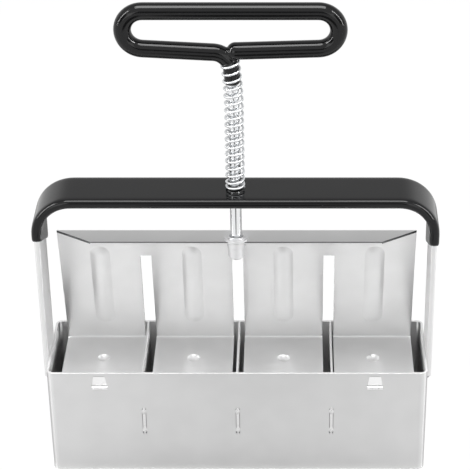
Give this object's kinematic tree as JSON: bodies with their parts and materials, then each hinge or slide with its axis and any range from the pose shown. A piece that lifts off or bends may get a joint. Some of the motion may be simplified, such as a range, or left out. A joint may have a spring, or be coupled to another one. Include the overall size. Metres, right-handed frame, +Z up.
{
  "type": "soil blocker",
  "caption": "Hand-held soil blocker: a row of open square cells under a coated bail, with a sprung ejector of dimpled press plates and a bent-rod handle.",
  "frame": {"origin": "on the bench plane, at the centre of the bounding box's bottom face, under the middle of the mould", "axes": "+X along the row of cells to the right, +Y to the back (the ejector's web side), +Z up along the plunger"},
  "size_m": [0.2132, 0.0536, 0.2683],
  "materials": {
    "galvanised_sheet": "smooth bright plated sheet",
    "plated_strip": "smooth bright plated strip",
    "weld_bead": "plated weld",
    "bright_rod": "bright plated bar",
    "plated_nut": "zinc plated",
    "spring_wire": "bright drawn wire",
    "black_pvc": "dip-coated gloss"
  },
  "bodies": {
    "mould_frame": {"mould_wall": "galvanised_sheet", "divider_left": "galvanised_sheet", "divider_middle": "galvanised_sheet", "divider_right": "galvanised_sheet", "bail_strip": "plated_strip", "bail_coat": "black_pvc", "weld_left": "weld_bead", "weld_right": "weld_bead", "return_spring": "spring_wire"},
    "plunger": {"plunger_rod": "bright_rod", "handle_coat": "black_pvc", "rivet_nut": "plated_nut", "ejector": "galvanised_sheet"}
  },
  "joints": [
    {"name": "plunger_slide", "type": "slide", "parent": "mould_frame", "child": "plunger", "axis": [0, 0, -1], "range_m": [0, 0.048], "stiffness_N_per_m": 1250, "springref_m": -0.004, "deforming": ["return_spring"]}
  ]
}
